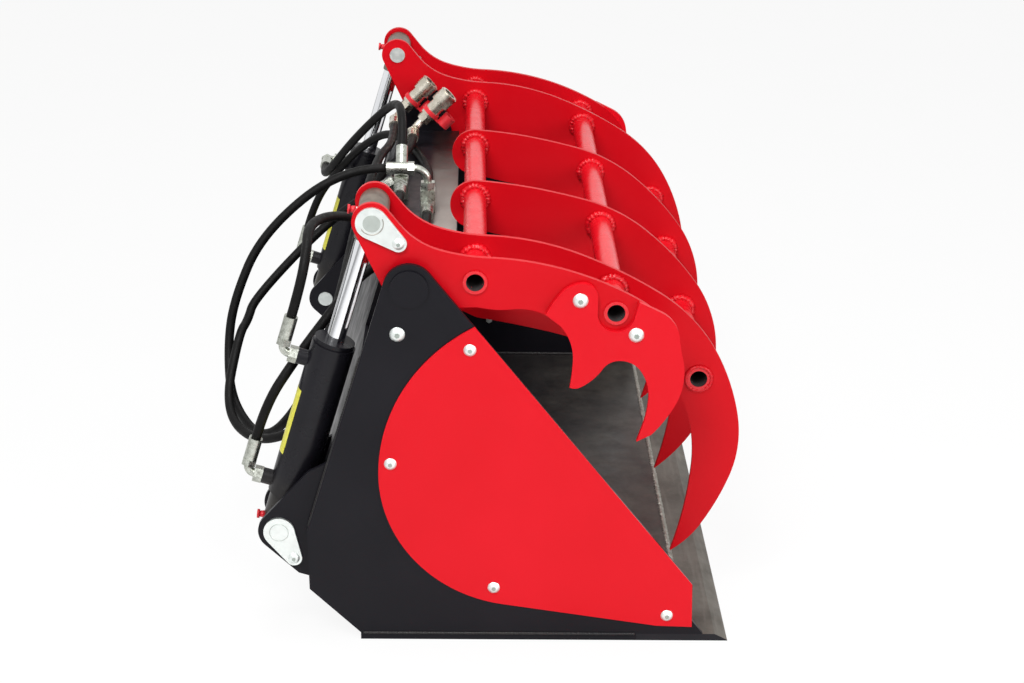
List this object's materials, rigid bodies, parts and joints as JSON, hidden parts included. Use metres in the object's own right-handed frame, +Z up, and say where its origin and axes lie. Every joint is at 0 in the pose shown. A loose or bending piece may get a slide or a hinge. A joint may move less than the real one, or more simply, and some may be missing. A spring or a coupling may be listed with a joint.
{
  "type": "silage grab bucket",
  "caption": "Loader bucket with a hinged curved grab over its mouth, worked by a pair of hydraulic cylinders behind the folded back.",
  "frame": {"origin": "middle of the cutting edge's flat underside, on the ground", "axes": "+X along the bucket's width towards the left cylinder as seen from behind it looking forward; the mouth and cutting edge face -Y; +Z up"},
  "size_m": [1.2172, 0.8864, 0.743],
  "materials": {
    "red_paint": "satin",
    "black_paint": "satin",
    "mill_steel": "matte",
    "zinc_plate": "satin",
    "bright_steel": "satin",
    "chrome": "gloss",
    "hose_rubber": "matte",
    "cap_plastic": "matte"
  },
  "bodies": {
    "root": {"back_beam": "black_paint", "bucket_shell": "black_paint", "coupler_a": "chrome", "coupler_b": "chrome", "cover_bolts": "zinc_plate", "cutting_edge": "mill_steel", "cylinder_bracket_left": "black_paint", "cylinder_bracket_right": "black_paint", "cylinder_hose_lower_left": "hose_rubber", "cylinder_hose_lower_right": "hose_rubber", "cylinder_hose_upper_left": "hose_rubber", "cylinder_hose_upper_right": "hose_rubber", "dust_cap_a": "cap_plastic", "dust_cap_b": "cap_plastic", "lower_circuit_tee": "zinc_plate", "lower_keeper_bolts": "zinc_plate", "lower_keepers": "zinc_plate", "lower_pins": "bright_steel", "pivot_ears": "black_paint", "pivot_pins": "black_paint", "side_bolts": "zinc_plate", "side_cover_left": "red_paint", "side_cover_right": "red_paint", "side_plate_left": "black_paint", "side_plate_right": "black_paint", "supply_hose_a": "hose_rubber", "supply_hose_b": "hose_rubber", "upper_circuit_tee": "zinc_plate", "wear_strips": "black_paint"},
    "grab": {"arm_inner_left": "red_paint", "arm_inner_right": "red_paint", "arm_outer_left": "red_paint", "arm_outer_right": "red_paint", "claw_bolts": "zinc_plate", "claw_left": "red_paint", "claw_right": "red_paint", "cross_tube_front": "red_paint", "cross_tube_middle": "red_paint", "cross_tube_rear": "red_paint", "pivot_bushes": "red_paint", "tine_left": "red_paint", "tine_right": "red_paint", "upper_keeper_bolts": "zinc_plate", "upper_keepers": "zinc_plate", "upper_pin_ends": "bright_steel"},
    "barrel_right": {"barrel_right": "black_paint", "gland_right": "black_paint", "port_fittings_right": "zinc_plate"},
    "barrel_left": {"barrel_left": "black_paint", "gland_left": "black_paint", "port_fittings_left": "zinc_plate"},
    "rod_right": {"piston_right": "bright_steel", "rod_right": "chrome", "upper_pin_core_right": "bright_steel"},
    "rod_left": {"piston_left": "bright_steel", "rod_left": "chrome", "upper_pin_core_left": "bright_steel"},
    "sleeve_a": {"coupler_sleeve_a": "chrome"},
    "sleeve_b": {"coupler_sleeve_b": "chrome"}
  },
  "joints": [
    {"name": "grab_hinge", "type": "hinge", "parent": "root", "child": "grab", "pos_m": [0, 0.446, 0.611], "axis": [-1, 0, 0], "range_deg": [0, 80]},
    {"name": "barrel_hinge_right", "type": "hinge", "parent": "root", "child": "barrel_right", "pos_m": [-0.528, 0.656, 0.188], "axis": [-1, 0, 0], "range_deg": [0, 1.72], "deforming": ["cylinder_hose_lower_right", "cylinder_hose_upper_right"]},
    {"name": "rod_slide_right", "type": "slide", "parent": "barrel_right", "child": "rod_right", "axis": [0, -0.282, 0.9594], "range_m": [-0.1479, 0]},
    {"name": "barrel_hinge_left", "type": "hinge", "parent": "root", "child": "barrel_left", "pos_m": [0.528, 0.656, 0.188], "axis": [-1, 0, 0], "range_deg": [0, 1.72], "deforming": ["cylinder_hose_lower_left", "cylinder_hose_upper_left"]},
    {"name": "rod_slide_left", "type": "slide", "parent": "barrel_left", "child": "rod_left", "axis": [0, -0.282, 0.9594], "range_m": [-0.1479, 0]},
    {"name": "sleeve_slide_a", "type": "slide", "parent": "root", "child": "sleeve_a", "axis": [0, -0.7071, 0.7071], "range_m": [-0.006, 0], "stiffness_N_per_m": 1500, "springref_m": 0.004},
    {"name": "sleeve_slide_b", "type": "slide", "parent": "root", "child": "sleeve_b", "axis": [0, -0.7071, 0.7071], "range_m": [-0.006, 0], "stiffness_N_per_m": 1500, "springref_m": 0.004}
  ],
  "couplings": [
    {"joint": "barrel_hinge_right", "follows": "grab_hinge", "ratio": 0.021484},
    {"joint": "rod_slide_right", "follows": "grab_hinge", "m_per_rad": -0.10586},
    {"joint": "barrel_hinge_left", "follows": "grab_hinge", "ratio": 0.021484},
    {"joint": "rod_slide_left", "follows": "grab_hinge", "m_per_rad": -0.10586}
  ]
}
